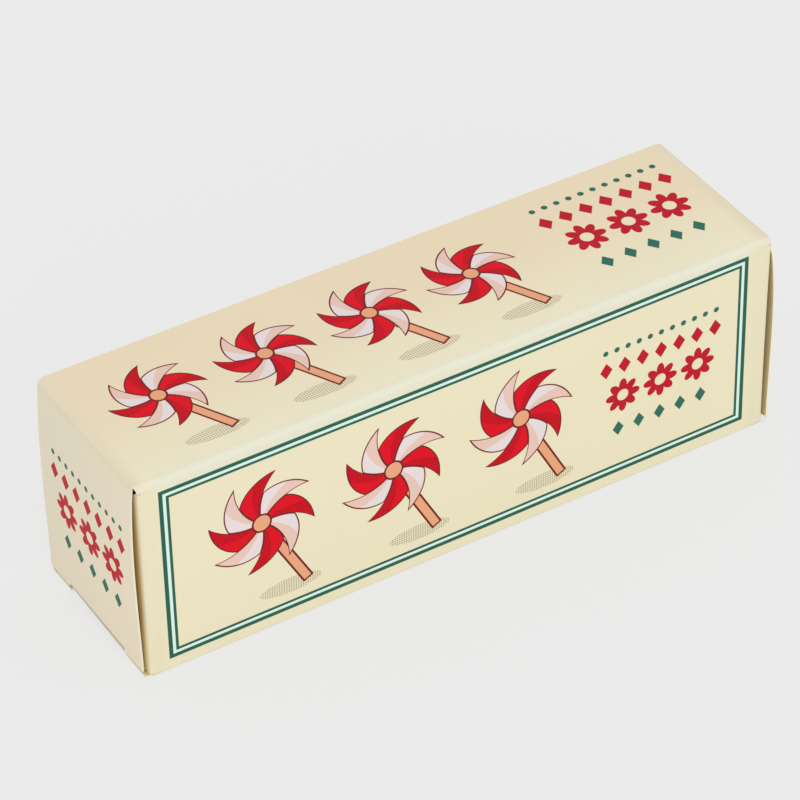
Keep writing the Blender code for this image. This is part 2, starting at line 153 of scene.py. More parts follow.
class PrintSettings(bpy.types.PropertyGroup):
    """Inks and rules of the print, with the painted light and shade of the board; the rules are in
    millimetres, as the print map is.
    """
    cream: tint("Cream", "Ground colour of the long walls", 236, 228, 195)
    margin: tint("Margin cream", "Ground beside the border, towards the ends", 234, 225, 193)
    # Crease cream pales the front fold: partly rubbed wear, partly a painted highlight
    crease: tint("Crease cream", "Ground that has rubbed pale along the front fold", 231, 229, 207)
    top_cream: tint("Top cream", "Ground colour of the top", 237, 221, 189)
    # Painted light: the top pales towards the front
    top_painted_light: tint("Pale top cream", "Ground of the top towards the front", 239, 232, 202)
    end_cream: tint("End cream", "Ground colour of the end panels", 233, 224, 199)
    # Painted light: the end panels pale towards foot and front
    end_painted_light: tint("Pale end cream", "Ground of the end panels towards foot and front", 242, 229, 204)
    # Painted shade: a darker ground along the end creases, where they face the light
    end_crease_painted_shade: tint("End crease cream", "Ground along the creases above the end panels", 232, 219, 191)
    green: tint("Green", "Border rules", 46, 99, 80)
    row_green: tint("Row green", "Green of the ornament rows", 52, 110, 93)
    mint: tint("Mint", "Pale band between the border rules", 221, 244, 234)
    red: tint("Red", "Main ink of the motifs", 222, 12, 34)
    deep_red: tint("Deep red", "Shaded side of the red motifs", 198, 10, 30)
    row_red: tint("Row red", "Red of the ornament rows", 192, 24, 42)
    peach: tint("Peach", "Sticks and buttons of the motifs", 233, 168, 128)
    lilac: tint("Lilac white", "Pale blades of the motifs", 232, 221, 220)
    outline: tint("Outline", "Fine line around the motifs", 120, 34, 36)
    shadow: tint("Shadow", "Dots of the halftone shadows", 176, 164, 140)
    # Unprinted board on the dust flaps, darkened as painted shade for the gap behind the end panels; paler
    # towards the flaps' foot
    raw_board_and_painted_shade: tint("Raw board", "Board beyond the ink on the dust flaps", 178, 148, 92)
    raw_board_foot_and_painted_shade: tint("Raw board foot", "Board beyond the ink at the foot of the dust flaps", 198, 188, 122)
    # Rubbed crease colour: partly wear, partly a painted highlight along the folds
    rub: tint("Rubbed crease", "Board that shows where a crease has rubbed", 231, 232, 216)
    inside: tint("Inside", "Darker fibres of the unprinted inside", 231, 214, 153)
    inside_pale: tint("Pale inside", "Paler fibres of the unprinted inside", 244, 232, 181)
    fleck: tint("Flecks", "Flecks of the unprinted inside", 160, 142, 100)
    edge: tint("Cut edge", "Darker layers of the cut edges", 234, 225, 198)
    edge_pale: tint("Pale cut edge", "Paler layers of the cut edges", 250, 246, 232)
    flap_bleed: number("Flap bleed", "Ink past the start of a dust crease, in mm", 3.4)
    border_half_length: number("Border half length", "From a panel's middle to the border's end, mm", 85.8)
    border_half_height: number("Border half height", "From a panel's middle to the border's top, mm", 26.5)
    outer_rule: number("Outer rule", "Width of the outer rule, in mm", 1.15)
    rule_gap: number("Rule gap", "Pale band between the rules, in mm", 0.85)
    inner_rule: number("Inner rule", "Width of the inner rule, in mm", 0.8)


class ToySettings(bpy.types.PropertyGroup):
    """Sizes and colours of the pipe and the balls."""
    paint: tint("Paint", "Red paint of bowl and hoop", 200, 22, 32)
    wood_light: tint("Light wood", "Early wood of stem, nozzle and slats", 226, 188, 138)
    wood_dark: tint("Dark wood", "Late wood of stem, nozzle and slats", 190, 140, 88)
    pore: tint("Wood pores", "Pores of the wood", 150, 100, 58)
    foam: tint("Foam", "Colour of the foam balls", 240, 238, 232)
    seam: tint("Foam seams", "Seams between the foam's beads", 206, 204, 200)
    bead_size: length("Foam bead", "Size of one bead of the foam", 3.4)
    bead_groove: length("Bead groove", "Depth of the seams between beads", 0.22)
    slat_width: length("Slat width", "Width of a hoop slat", 6.6)
    slat_thickness: length("Slat thickness", "Thickness of a hoop slat", 3.4)
    slat_edge: length("Slat edge", "Rounding of a hoop slat's edges", 0.9)
    slat_count: IntProperty(name="Slats", description="Number of hoop slats", default=3, min=1)


class StageSettings(bpy.types.PropertyGroup):
    """Floor, lamp and lens."""
    backdrop: tint("Backdrop", "Pale ground that the camera sees", 235, 235, 235)
    sky: number("Sky", "Strength of the even light from all sides", 0.86)
    key: number("Key", "Power of the large lamp at the front", 9.3, "POWER")
    lens: number("Lens", "Focal length on a 36 mm sensor", 179.7468, "CAMERA")


class Term:
    """A socket in a Python expression; each operation adds one Math node."""

    def __init__(self, graph, socket):
        self.graph = graph
        self.socket = socket

    def __add__(self, other):
        return self.graph.math("ADD", self, other)

    def __sub__(self, other):
        return self.graph.math("SUBTRACT", self, other)

    def __rsub__(self, other):
        return self.graph.math("SUBTRACT", other, self)

    def __mul__(self, other):
        return self.graph.math("MULTIPLY", self, other)

    def __truediv__(self, other):
        return self.graph.math("DIVIDE", self, other)

    def __rtruediv__(self, other):
        return self.graph.math("DIVIDE", other, self)

    def __abs__(self):
        return self.graph.math("ABSOLUTE", self)

    __radd__ = __add__
    __rmul__ = __mul__


class Graph:
    """A node tree under construction."""

    def __init__(self, tree):
        self.tree = tree

    def node(self, kind, sockets=None, output=0, **settings):
        """Adds a node, sets it up, feeds its sockets and gives one of its outputs."""
        node = self.tree.nodes.new(kind)
        for name, value in settings.items():
            setattr(node, name, value)
        for name, value in (sockets or {}).items():
            self.feed(node.inputs[name], value)
        return Term(self, node.outputs[output]) if node.outputs else None

    def feed(self, socket, value):
        if isinstance(value, Term):
            self.tree.links.new(value.socket, socket)
        else:
            socket.default_value = value

    def math(self, operation, *values, clamp=False):
        return self.node("ShaderNodeMath", dict(enumerate(values)), operation=operation, use_clamp=clamp)

    def limit(self, value, low, high):
        return self.math("MINIMUM", self.math("MAXIMUM", value, low), high)

    def join(self, x, y, z):
        return self.node("ShaderNodeCombineXYZ", {"X": x, "Y": y, "Z": z})

    def split(self, vector):
        node = self.node("ShaderNodeSeparateXYZ", {"Vector": vector}).socket.node
        return [Term(self, output) for output in node.outputs]

    def noise(self, vector, scale, detail=2.0, roughness=0.5):
        return self.node("ShaderNodeTexNoise", {"Vector": vector, "Scale": scale,
                                                "Detail": detail, "Roughness": roughness})


class Finish(Graph):
    """A material under construction and the shader that it feeds."""

    def __init__(self, name, specular):
        self.material = bpy.data.materials.new(name)
        self.material.use_nodes = True
        super().__init__(self.material.node_tree)
        self.shader = self.tree.nodes["Principled BSDF"]
        self.set("Specular IOR Level", specular)
        self.inks = bpy.context.scene.ball_game_print
        self.toy = bpy.context.scene.ball_game_toy

    def set(self, socket, value):
        self.feed(self.shader.inputs[socket], value)

    def mix(self, factor, first, second, blend="MIX"):
        """Lays one colour over another."""
        first, second = (c if isinstance(c, Term) else (*c, 1.0) for c in (first, second))
        return self.node("ShaderNodeMix", {0: factor, 6: first, 7: second}, 2,
                         data_type="RGBA", blend_type=blend)

    def shade(self, colour, amount):
        """Darkens or lightens a colour by a varying share around 1."""
        grey = self.node("ShaderNodeCombineColor", {"Red": amount, "Green": amount, "Blue": amount})
        return self.mix(1.0, colour, grey, "MULTIPLY")

    def object_place(self, scale=(1.0, 1.0, 1.0), location=(0.0, 0.0, 0.0)):
        """Object coordinates, moved and stretched by a Mapping node."""
        place = self.node("ShaderNodeTexCoord", output="Object")
        return self.node("ShaderNodeMapping", {"Vector": place, "Scale": scale, "Location": location})

    def surface(self, colour, roughness, height, distance, strength):
        """Feeds the shader's colour, gloss and bump."""
        self.set("Base Color", colour)
        self.set("Roughness", roughness)
        self.set("Normal", self.node("ShaderNodeBump", {"Height": height, "Distance": distance,
                                                        "Strength": strength}))
        return self.material


# Print: distances to outlines in millimetres, negative inside

INK_EDGE = 0.06
OUTLINE = 0.28
PETALS = 8


def inked(distance, edge=INK_EDGE):
    """Coverage of ink inside an outline, with a soft printed edge."""
    return distance.graph.math("MULTIPLY_ADD", distance, -0.5 / edge, 0.5, clamp=True)


def ramp(place, start, end):
    """Rises from 0 to 1 between two values."""
    slope = 1 / (end - start)
    return place.graph.math("MULTIPLY_ADD", place, slope, -slope * start, clamp=True)


def disc(x, y, radius):
    return x.graph.math("SQRT", x * x + y * y) - radius


def diamond(x, y, half_width, half_height):
    slant = math.hypot(half_width, half_height)
    across, up = half_height / slant, half_width / slant
    return abs(x) * across + abs(y) * up - half_width * half_height / slant


def rosette(x, y, radius):
    """A flower of round petals."""
    graph = x.graph
    wave = abs(graph.math("COSINE", graph.math("ARCTAN2", y, x) * (PETALS / 2)))
    return (disc(x, y, radius * 0.6) - wave * (radius * 0.4)) * 0.8


def stripe(outside, start, width):
    """A stripe that follows an outline at some depth inside it."""
    return abs(outside + (start + width / 2)) - width / 2


def repeated(x, pitch, count):
    """Folds a row of equal cells into one; gives the place in the cell and the cell's number."""
    graph = x.graph
    shift = 0.0 if count % 2 else 0.5
    last = (count - 1) / 2
    cell = graph.limit(graph.math("ROUND", x / pitch - shift) + shift, -last, last)
    return x - cell * pitch, cell


class Page(Finish):
    """Printed board under construction: a ground on the print map, with inks laid over it."""

    def __init__(self, name, ground):
        super().__init__(name, 0.08)
        self.place = self.node("ShaderNodeUVMap", uv_map=PRINT_MAP)
        waver = (self.noise(self.place, 0.9) - 0.5) * 0.05
        self.u, self.v = (part + waver for part in self.split(self.place)[:2])
        self.colour = getattr(self.inks, ground)

    def lay(self, ink, coverage):
        """Lays an ink over what is there; painted light and shade are laid the same way."""
        self.colour = self.mix(coverage, self.colour, ink)

    def lay_outlined(self, ink, distance):
        """Prints an ink inside a fine line."""
        self.lay(self.inks.outline, inked(distance - OUTLINE))
        self.lay(ink, inked(distance + OUTLINE))


BORDER_PLACE = (-0.18, 0.1)
BORDER_CLIMB = 0.005


def double_border(page):
    """A wide and a fine green rule with a pale band between them, printed a little askew."""
    inks = page.inks
    climb = page.math("MAXIMUM", page.u, 0.0) * BORDER_CLIMB + BORDER_PLACE[1]
    outside = page.math("MAXIMUM", abs(page.u - BORDER_PLACE[0]) - inks.border_half_length,
                        abs(page.v - climb) - inks.border_half_height)
    step = inks.outer_rule + inks.rule_gap
    page.lay(inks.mint, inked(stripe(outside, 0.0, step)))
    page.lay(inks.green, page.math("MAXIMUM", inked(stripe(outside, 0.0, inks.outer_rule)),
                                   inked(stripe(outside, step, inks.inner_rule))))


# Each row's shape, height, pitch, number of ornaments, half sizes and ink
ORNAMENT_ROWS = (
    (disc, 14.0, 3.4, 11, (0.8,), "row_green"),
    (diamond, 8.4, 5.6, 7, (1.9, 2.5), "row_red"),
    (rosette, -1.2, 11.6, 3, (5.2,), "row_red"),
    (disc, -1.2, 11.6, 3, (1.7,), "cream"),
    (diamond, -11.6, 6.4, 5, (1.7, 2.3), "row_green"),
)


def ornament_rows(page, centre, scale):
    """Four centred rows: green dots, red diamonds, large red rosettes and green diamonds."""
    for shape, height, pitch, count, halves, ink in ORNAMENT_ROWS:
        x, _ = repeated(page.u - centre[0], pitch * scale, count)
        y = page.v - (centre[1] + height * scale)
        page.lay(getattr(page.inks, ink), inked(shape(x, y, *(half * scale for half in halves))))


# Pinwheels: lengths of stick and button, and the blades' cut, are shares of the radius
BLADES = 8
BLADE_CUT = 0.4
BLADE_TWIST = 0.035
BLADE_START = 0.3
BLADE_FOLD = 0.42
BUTTON = 0.17
STICK_LEAN = math.radians(-62.0)
STICK_LENGTH = 1.72
STICK_HALF = 1.35
SHADOW_SHIFT = (5.0, 0.2)
SHADOW_SQUASH = 0.26
SHADOW_RADIUS = 2.3
HALFTONE = 4.6


def pinwheels(page, centre, pitch, count, radius, zigzag):
    """A row of paper pinwheels on sticks, each with a halftone shadow at its foot."""
    inks = page.inks
    u, v = page.u - centre[0], page.v - centre[1]
    x, cell = repeated(u, pitch, count)
    y = v - page.math("COSINE", cell * math.pi) * zigzag
    cos, sin, foot = math.cos(STICK_LEAN), math.sin(STICK_LEAN), radius * STICK_LENGTH

    shade_x = (x - foot * cos + SHADOW_SHIFT[0]) * SHADOW_SQUASH
    shade = disc(shade_x, y - foot * sin + SHADOW_SHIFT[1], SHADOW_RADIUS)
    dots = page.math("COSINE", (u + v) * HALFTONE) * page.math("COSINE", (u - v) * HALFTONE)
    page.lay(inks.shadow, inked(shade) * inked(0.15 - dots, 0.25))

    across, along = y * cos - x * sin, x * cos + y * sin
    stick = page.math("MAXIMUM", abs(across) - STICK_HALF, abs(along - foot / 2) - foot / 2)
    page.lay_outlined(inks.peach, stick)

    away = page.math("SQRT", x * x + y * y)
    turn = page.math("ARCTAN2", y, x) + away * BLADE_TWIST
    turn = turn * (BLADES / math.tau) + cell * BLADE_START
    share = page.math("FRACT", turn)
    pale = page.math("GREATER_THAN", page.math("FRACT", turn * 0.5), 0.5)
    arc_length = away * (math.tau / BLADES)
    edge = away - (1 - share * BLADE_CUT) * radius
    side = page.math("MINIMUM", share, 1 - share) * arc_length
    fold = inked((share - BLADE_FOLD) * arc_length)
    red = page.mix(fold, inks.red, inks.deep_red)
    lilac = page.mix(fold * 0.45, inks.lilac, inks.peach)
    page.lay(inks.outline, inked(edge - OUTLINE))
    page.lay(page.mix(pale, red, lilac), inked(edge + OUTLINE) * (1 - inked(side - OUTLINE)))
    page.lay_outlined(inks.peach, away - radius * BUTTON)


def rubbed_and_painted_highlight(page, start, end):
    """Pales the ground along the front fold, except at the fold's ends: rubbed wear and a painted
    highlight.
    """
    page.lay(page.inks.crease, ramp(page.v, start, end) * ramp(abs(page.u), 88.5, 83.5))


def paint_end_light(page, v):
    """Pales an end panel's ground towards its foot and its front, as painted light."""
    page.lay(page.inks.end_painted_light, ramp(page.u - v * 0.5, -30.0, 25.0))


def front_layout(page):
    page.lay(page.inks.margin, ramp(abs(page.u), 85.6, 88.0))
    rubbed_and_painted_highlight(page, 25.8, 27.6)
    double_border(page)
    pinwheels(page, (-21.0, 4.6), pitch=37.5, count=3, radius=15.2, zigzag=0.0)
    ornament_rows(page, (59.0, 0.0), scale=1.0)


def top_layout(page):
    # Painted light: the top pales towards the front
    page.lay(page.inks.top_painted_light, ramp(page.v, 6.0, -23.0))
    rubbed_and_painted_highlight(page, -22.6, -24.2)
    # Painted shade along the end creases at the top's ends
    page.lay(page.inks.end_crease_painted_shade, ramp(abs(page.u), 88.0, 91.2) * 0.85)
    pinwheels(page, (-25.0, 3.6), pitch=30.0, count=4, radius=13.0, zigzag=2.4)
    ornament_rows(page, (66.0, 2.1), scale=1.1)


def end_layout(page):
    paint_end_light(page, page.v)
    # Painted shade on the end crease
    page.lay(page.inks.end_crease_painted_shade, ramp(page.v, 27.0, 29.6))
    ornament_rows(page, (0.0, -1.0), scale=1.02)


def tuck_layout(page):
    """The ground at the end panel's foot with its painted light, and a painted shadow line along its
    crease over the thumb notch.
    """
    paint_end_light(page, -30.0)
    notch_painted_shadow = page.math("MAXIMUM", abs(page.v + 0.35) - 0.38, abs(page.u) - 14.2)
    page.lay(page.inks.shadow, inked(notch_painted_shadow, 0.1) * 0.7)


def flap_layout(page):
    """Ink that bleeds over the crease and ends on unprinted board, darkened there as painted shade, less
    so at the foot.
    """
    raw_board_and_painted_shade = page.mix(ramp(page.v, 20.0, 0.0), page.inks.raw_board_and_painted_shade, page.inks.raw_board_foot_and_painted_shade)
    page.lay(raw_board_and_painted_shade, inked(page.inks.flap_bleed - page.u, 0.6))


# Each printed panel's ground and what is laid over it
LAYOUTS = {
    "front_print": ("cream", front_layout),
    "top_print": ("top_cream", top_layout),
    "end_print": ("end_cream", end_layout),
    "bare_print": ("cream", None),
    "tuck_print": ("end_cream", tuck_layout),
    "flap_print": ("margin", flap_layout),
}


def printed_board(name):
    """Coated board with a satin print: faint fibres, uneven ink and creases paled by rubbing and by a
    painted highlight.
    """
    ground, layout = LAYOUTS[name]
    page = Page(name, ground)
    if layout:
        layout(page)
    fibre = page.noise(page.place, 3.2, 4.0, 0.65)
    cloud = page.noise(page.place, 0.035)
    colour = page.shade(page.colour, 1.0 + (fibre - 0.5) * 0.04 + (cloud - 0.5) * 0.035)
    # Folds pale towards the rubbed colour and grow less glossy: partly wear, partly a painted highlight
    fold = page.node("ShaderNodeAttribute", output="Fac", attribute_name=FOLD_ATTRIBUTE)
    rub = fold * (0.8 + (fibre - 0.5) * 1.2)
    colour = page.mix(rub * 0.3, colour, page.inks.rub)
    return page.surface(colour, 0.46 + (fibre - 0.5) * 0.16 + rub * 0.2,
                        fibre + page.noise(page.place, 0.25) * 0.6, 0.03 * MM, 0.35)


def inner_board(name):
    """The unprinted inside: uncoated, with long fibres and grey flecks."""
    finish = Finish(name, 0.2)
    place = finish.node("ShaderNodeUVMap", uv_map=PRINT_MAP)
    u, v, _ = finish.split(place)
    fibre = finish.noise(finish.join(u * 0.35, v * 2.0, 0.0), 1.6, 5.0, 0.7)
    fleck = inked(0.71 - finish.noise(place, 1.9, 1.0), 0.02)
    colour = finish.mix(fibre, finish.inks.inside, finish.inks.inside_pale)
    colour = finish.mix(fleck * 0.5, colour, finish.inks.fleck)
    return finish.surface(colour, 0.82 + (fibre - 0.5) * 0.1, fibre, 0.05 * MM, 0.5)


def cut_edge(name):
    """The board's cut edge: pale, layered and slightly furred."""
    finish = Finish(name, 0.15)
    fur = finish.noise(finish.object_place(), 2600.0, 3.0, 0.7)
    colour = finish.mix(fur, finish.inks.edge, finish.inks.edge_pale)
    return finish.surface(colour, 0.86 + (fur - 0.5) * 0.1, fur, 0.06 * MM, 0.6)


def red_paint(name):
    """Sprayed gloss paint on turned wood: faint turning rings, orange peel and a few dull rubs."""
    finish = Finish(name, 0.5)
    place = finish.object_place()
    peel = finish.noise(place, 900.0)
    cloud = finish.noise(place, 60.0, 3.0)
    rings = finish.noise(finish.join(0.0, 0.0, finish.split(place)[2]), 1500.0)
    colour = finish.shade(finish.toy.paint, 0.94 + (cloud - 0.5) * 0.22 + (rings - 0.5) * 0.06)
    rub = ramp(cloud, 0.575, 0.825)
    finish.set("Coat Roughness", 0.12)
    finish.set("Coat Weight", 0.6 - rub * 0.4)
    return finish.surface(colour, 0.3 + rub * 0.22 + (peel - 0.5) * 0.08,
                          peel * 0.6 + rings * 0.8, 0.06 * MM, 0.4)


GRAIN_AXIS = {"wood_along_stem": "X", "wood_upright": "Z"}


def bare_wood(name):
    """Fine pale wood: growth bands and pores that run along one axis."""
    finish = Finish(name, 0.3)
    along = [axis == GRAIN_AXIS[name] for axis in "XYZ"]
    band_place = finish.object_place([14.0 if grain else 420.0 for grain in along])
    pore_place = finish.object_place([90.0 if grain else 2600.0 for grain in along], (3.0, 1.0, 2.0))
    line = finish.math("FRACT", finish.noise(band_place, 1.0, 3.0, 0.55) * 5.0)
    late = line * line * line
    pit = ramp(finish.noise(pore_place, 1.0), 0.6, 0.6 + 1 / 6)
    colour = finish.mix(late * 0.8, finish.toy.wood_light, finish.toy.wood_dark)
    colour = finish.mix(pit * 0.45, colour, finish.toy.pore)
    return finish.surface(colour, 0.52 + late * 0.1 + pit * 0.15, late * 0.3 - pit, 0.08 * MM, 0.5)


def white_foam(name):
    """Moulded bead foam: soft white cells with greyer seams."""
    finish = Finish(name, 0.25)
    place = finish.object_place()
    beads = {"Vector": place, "Scale": 1 / finish.toy.bead_size}
    seam = finish.node("ShaderNodeTexVoronoi", beads, feature="DISTANCE_TO_EDGE")
    near = ramp(seam, 1 / 9, 0.0)
    tone, _, _ = finish.split(finish.node("ShaderNodeTexVoronoi", beads, "Color"))
    grain = finish.noise(place, 2400.0)
    colour = finish.shade(finish.toy.foam, 0.97 + tone * 0.03 + (grain - 0.5) * 0.05)
    colour = finish.mix(near * 0.35, colour, finish.toy.seam)
    return finish.surface(colour, 0.6 + near * 0.2 + (grain - 0.5) * 0.1, grain - near, 0.06 * MM, 0.5)


MAKERS = {**dict.fromkeys(LAYOUTS, printed_board), **dict.fromkeys(GRAIN_AXIS, bare_wood),
          "board_inside": inner_board, "board_edge": cut_edge,
          "red_gloss_paint": red_paint, "white_bead_foam": white_foam}


def material(name):
    """A material by name, made when it is first asked for."""
    return bpy.data.materials.get(name) or MAKERS[name](name)


# Meshes

SMOOTH_ANGLE = math.radians(32.0)
ARC_STEPS = 8


def add_piece(name, mesh, materials):
    piece = bpy.data.objects.new(name, mesh)
    for finish in materials:
        mesh.materials.append(material(finish))
    mesh.polygons.foreach_set("use_smooth", [True] * len(mesh.polygons))
    mesh.set_sharp_from_angle(angle=SMOOTH_ANGLE)
    bpy.context.scene.collection.objects.link(piece)
    return piece


def stand_for(piece, slot, *nodes):
    """Puts a finished piece in place of the CAD nodes that it stands for."""
    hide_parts(*nodes)


def unit(vectors):
    return vectors / np.maximum(np.linalg.norm(vectors, axis=-1, keepdims=True), 1e-12)


def grid(*parts):
    """Joins arrays of coordinates, stretched to one shape, into an array of points."""
    return np.stack(np.broadcast_arrays(*parts), axis=-1)


def bands(u, v):
    """The print map in millimetres at both rows of each band of a sheet's faces."""
    places = grid(u, v) / MM
    return np.stack([places[:-1], places[1:]], axis=1)


def board_sheet(name, outer, normals, places, fold, prints, band_print=None):
    """A folded sheet of board: a grid of outside points, thickened inwards and closed at its cut edges.

    outer and normals are rows by columns by 3. places gives each band of faces the print map at both
    of its rows, and band_print its number among the prints. fold is how far each row lies in a crease.
    """
    rows, columns = outer.shape[:2]
    skew = bpy.context.scene.ball_game_carton.skew
    outer[..., 0] += skew * (outer[..., 1] / HALF_WIDTH + 1) / 2
    inner = outer - normals * BOARD
    points = np.concatenate([outer.reshape(-1, 3), inner.reshape(-1, 3)])
    band_print = band_print or [0] * (rows - 1)
    inside, edge = len(prints), len(prints) + 1
    count = rows * columns
    faces, maps, indices = [], [], []

    def add(corners, row, material_index):
        faces.append(corners)
        indices.append(material_index)
        for corner in corners:
            corner %= count
            maps.append(places[row, corner // columns - row, corner % columns])

    for i in range(rows - 1):
        for j in range(columns - 1):
            a, b = i * columns + j, (i + 1) * columns + j
            add((a, a + 1, b + 1, b), i, band_print[i])
            add((count + b, count + b + 1, count + a + 1, count + a), i, inside)
        for j, turn in ((0, 1), (columns - 1, -1)):
            a, b = i * columns + j, (i + 1) * columns + j
            add((a, b, count + b, count + a)[::turn], i, edge)
    for i, row, turn in ((0, 0, -1), (rows - 1, rows - 2, 1)):
        for j in range(columns - 1):
            a = i * columns + j
            add((a, a + 1, count + a + 1, count + a)[::turn], row, edge)

    mesh = bpy.data.meshes.new(name)
    mesh.from_pydata(points.tolist(), [], faces)
    mesh.polygons.foreach_set("material_index", indices)
    uv = mesh.uv_layers.new(name=PRINT_MAP)
    uv.data.foreach_set("uv", np.array(maps, np.float32).ravel())
    attribute = mesh.attributes.new(FOLD_ATTRIBUTE, "FLOAT", "POINT")
    attribute.data.foreach_set("value", np.tile(np.repeat(fold, columns), 2).astype(np.float32))
    outward_volume(mesh)
    return add_piece(name, mesh, [*prints, "board_inside", "board_edge"])


def outward_volume(mesh):
    """Turns a closed mesh's faces outward if its signed volume is negative."""
    bm = bmesh.new()
    bm.from_mesh(mesh)
    if bm.calc_volume(signed=True) < 0:
        bmesh.ops.reverse_faces(bm, faces=bm.faces)
        bm.to_mesh(mesh)
    bm.free()


def folded_path(corners, radii, stops):
    """A polyline whose inner corners are rounded; stops gives each leg's own stations as shares.

    Gives points, outward normals to the left of travel, running lengths, crease amounts and leg numbers.
    """
    corners = [np.array(c, float) for c in corners]
    points, lengths, folds, legs = [], [], [], []
    run = 0.0

    def visit(point, fold, leg):
        nonlocal run
        if points:
            run += float(np.linalg.norm(point - points[-1]))
        points.append(point)
        lengths.append(run)
        folds.append(fold)
        legs.append(leg)

    last = len(corners) - 2
    trims = []
    for k in range(1, last + 1):
        before, after = unit(corners[k - 1] - corners[k]), unit(corners[k + 1] - corners[k])
        half = math.acos(np.clip(before @ after, -1, 1)) / 2
        trims.append(radii[k - 1] / math.tan(half))
    for leg in range(last + 1):
        start, end = corners[leg], corners[leg + 1]
        along = unit(end - start)
        first = start + along * (trims[leg - 1] if leg else 0.0)
        final = end - along * (trims[leg] if leg < last else 0.0)
        for share in stops[leg]:
            visit(first + (final - first) * share, 0.0, leg)
        if leg < last:
            beyond = unit(corners[leg + 2] - end)
            centre = final + unit(beyond - along * (beyond @ along)) * radii[leg]
            arm = final - centre
            turn = math.atan2(along[0] * beyond[1] - along[1] * beyond[0], along @ beyond)
            for step in range(1, ARC_STEPS):
                angle = turn * step / ARC_STEPS
                c, s = math.cos(angle), math.sin(angle)
                point = centre + np.array((arm[0] * c - arm[1] * s, arm[0] * s + arm[1] * c))
                visit(point, math.sin(math.pi * step / ARC_STEPS), leg + (step > ARC_STEPS // 2))
    points = np.array(points)
    tangent = unit(np.gradient(points, np.array(lengths), axis=0))
    normals = np.stack([-tangent[:, 1], tangent[:, 0]], axis=1)
    return points, normals, np.array(lengths), np.array(folds), legs


# Folded board

ENDS = (("left", -1), ("right", 1))
# Numbers of stations along and across the sheets
GLUE_STATIONS = TAB_STATIONS = 5
WALL_STATIONS = 29
NOTCH_STATIONS = 33
PANEL_STATIONS = 26
FLAP_STATIONS = 14
SLEEVE_COLUMNS = 49
# The sleeve's section starts at the glue flap; each leg's number among the sleeve's prints
BACK_LEG, BOTTOM_LEG, FRONT_LEG, TOP_LEG = range(1, 5)
LEG_PRINT = (2, 0, 2, 0, 1)
# Half lengths of the walls above the dust flaps, and how much less the top's corners reach
CORNER_REACH = (91.4 * MM, 92.6 * MM)
CORNER_SLANT = (-0.5 * MM, 0.9 * MM)
# Two stations this close make a step in a cut edge
WALL_SLIT = 0.06 * MM
GLUE_INSET = 2.0 * MM
GLUE_SLANT = 0.35
DUST_START = SIDE_END - 3.2 * MM
HEAD_CUT = 0.45 * MM
CLOSURE_SLACK = 0.15 * MM
# Share of its swelling that an end panel lacks along its edges
EDGE_HOLD = 0.12
# How rubbed creases and folds are, with a painted highlight along them, and how far beside the front fold
CREASE_WEAR_AND_HIGHLIGHT = 0.1
FOLD_WEAR_AND_HIGHLIGHT = 0.25
WEAR_AND_HIGHLIGHT_REACH = 0.9 * MM


def even(count):
    return np.linspace(0.0, 1.0, count)


def soft_step(share):
    return share * share * (3 - 2 * share)


def notch_stops(half_span, half_notch):
    """Stations across the bottom, dense where the thumb notch runs in steeply."""
    across = half_notch * np.sin(np.linspace(-math.pi / 2, math.pi / 2, NOTCH_STATIONS))
    sides = np.linspace(half_notch, half_span, TAB_STATIONS)[1:]
    places = np.concatenate([-sides[::-1], across, sides])
    return (places + half_span) / (2 * half_span)


def stand_out(z, lean, bow):
    """How far an end panel stands out at a height; the bow is largest at two thirds of it."""
    share = np.clip(z / HEIGHT, 0, 1)
    return lean * (1 - share ** 4) + bow * 27 / 4 * share * share * (1 - share)


